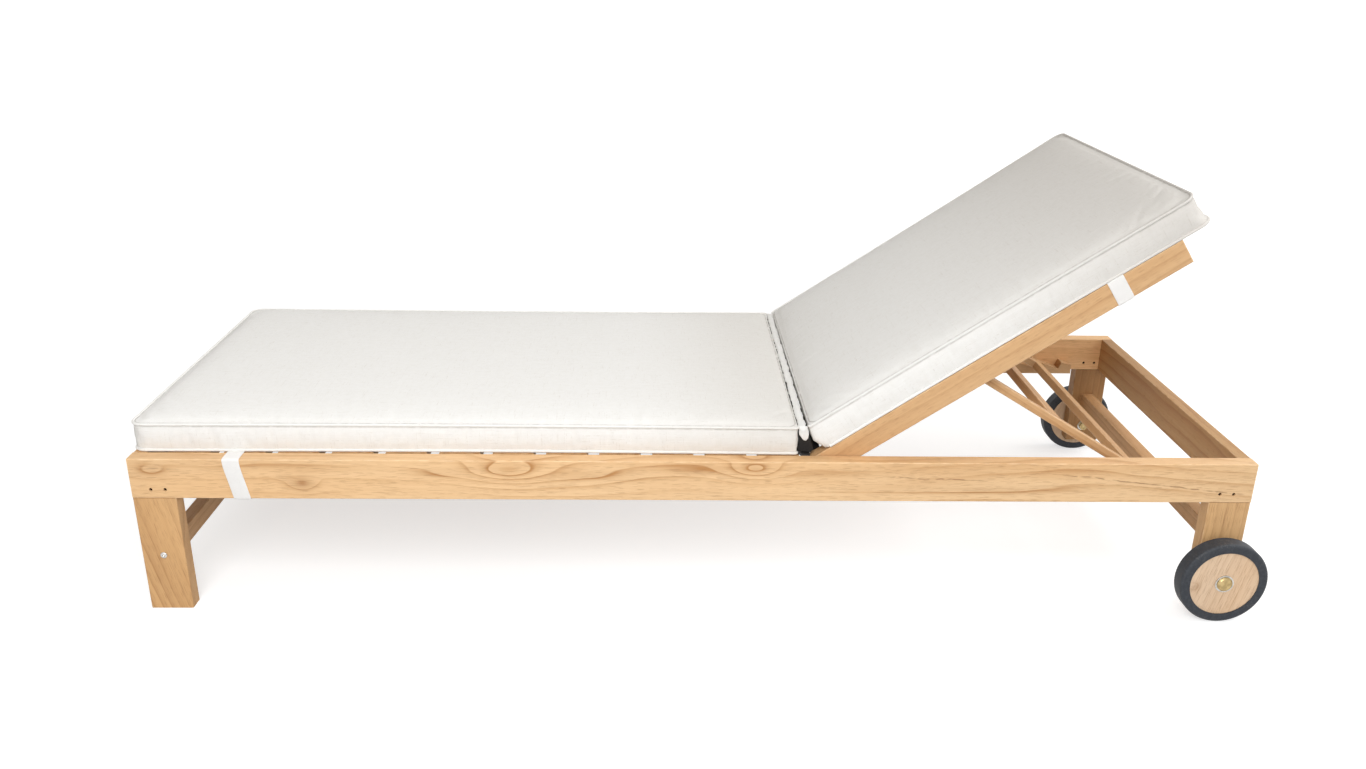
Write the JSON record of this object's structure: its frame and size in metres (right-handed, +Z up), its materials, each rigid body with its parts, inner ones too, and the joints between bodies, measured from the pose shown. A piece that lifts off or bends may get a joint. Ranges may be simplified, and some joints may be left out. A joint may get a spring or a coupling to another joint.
{
  "type": "sun lounger",
  "caption": "Wooden sun lounger with a slatted seat, a reclining back on a ratchet prop, wheels at the head end and a two-part pad.",
  "frame": {"origin": "on the floor under the centre of the lounger's bounding box", "axes": "+X along the length towards the head end, -Y the near side of the picture, +Z up"},
  "size_m": [2.04, 0.8208, 0.7739],
  "materials": {
    "frame_wood": "oiled",
    "slat_wood": "oiled",
    "disc_wood": "oiled",
    "tyre": "matte",
    "brass": "satin",
    "steel": "satin",
    "pin_steel": "dark",
    "cushion_fabric": "woven",
    "strap_fabric": "woven"
  },
  "bodies": {
    "frame": {"near_side_rail": "frame_wood", "far_side_rail": "frame_wood", "foot_end_rail": "frame_wood", "head_end_rail": "frame_wood", "near_foot_leg": "frame_wood", "far_foot_leg": "frame_wood", "near_wheel_leg": "frame_wood", "far_wheel_leg": "frame_wood", "foot_stretcher": "frame_wood", "wheel_stretcher": "frame_wood", "seat_cleats": "frame_wood", "hinge_bearer": "frame_wood", "near_ratchet": "frame_wood", "far_ratchet": "frame_wood", "seat_slat_01": "slat_wood", "seat_slat_02": "slat_wood", "seat_slat_03": "slat_wood", "seat_slat_04": "slat_wood", "seat_slat_05": "slat_wood", "seat_slat_06": "slat_wood", "seat_slat_07": "slat_wood", "seat_slat_08": "slat_wood", "seat_slat_09": "slat_wood", "seat_slat_10": "slat_wood", "seat_slat_11": "slat_wood", "seat_slat_12": "slat_wood", "leg_pins": "pin_steel", "stretcher_bolts": "steel", "stretcher_nuts": "steel", "seat_screws": "steel", "axle_bolts": "brass", "axle_washers": "steel", "axle_nuts": "brass", "backrest_pivots": "steel", "seat_cushion": "cushion_fabric", "seat_straps": "strap_fabric"},
    "backrest": {"near_stile": "frame_wood", "far_stile": "frame_wood", "back_lower_rail": "frame_wood", "back_upper_rail": "frame_wood", "back_cleats": "frame_wood", "back_slat_01": "slat_wood", "back_slat_02": "slat_wood", "back_slat_03": "slat_wood", "back_slat_04": "slat_wood", "back_slat_05": "slat_wood", "back_slat_06": "slat_wood", "back_slat_07": "slat_wood", "back_screws": "steel", "prop_pins": "steel"},
    "prop": {"near_prop_arm": "frame_wood", "far_prop_arm": "frame_wood", "prop_cross_bar": "frame_wood", "prop_foot_bar": "frame_wood"},
    "back_pad": {"back_cushion": "cushion_fabric", "back_straps": "strap_fabric"},
    "near_wheel": {"near_tyre": "tyre", "near_wheel_disc": "disc_wood"},
    "far_wheel": {"far_tyre": "tyre", "far_wheel_disc": "disc_wood"}
  },
  "joints": [
    {"name": "backrest_tilt", "type": "hinge", "parent": "frame", "child": "backrest", "pos_m": [0.2016, 0, 0.277], "axis": [0, -1, 0], "range_deg": [-34, 16]},
    {"name": "prop_swing", "type": "hinge", "parent": "backrest", "child": "prop", "pos_m": [0.46382, 0, 0.44904], "axis": [0, -1, 0], "range_deg": [-28, 59.5]},
    {"name": "back_pad_creep", "type": "slide", "parent": "backrest", "child": "back_pad", "axis": [0.829, 0, 0.5592], "range_m": [-0.054, 0.026]},
    {"name": "near_wheel_spin", "type": "hinge", "parent": "frame", "child": "near_wheel", "pos_m": [0.94, -0.39, 0.08], "axis": [0, 1, 0], "continuous": true},
    {"name": "far_wheel_spin", "type": "hinge", "parent": "frame", "child": "far_wheel", "pos_m": [0.94, 0.39, 0.08], "axis": [0, 1, 0], "continuous": true}
  ],
  "couplings": [
    {"joint": "prop_swing", "follows": "backrest_tilt", "ratio": -1.75},
    {"joint": "back_pad_creep", "follows": "backrest_tilt", "m_per_rad": 0.0893}
  ]
}
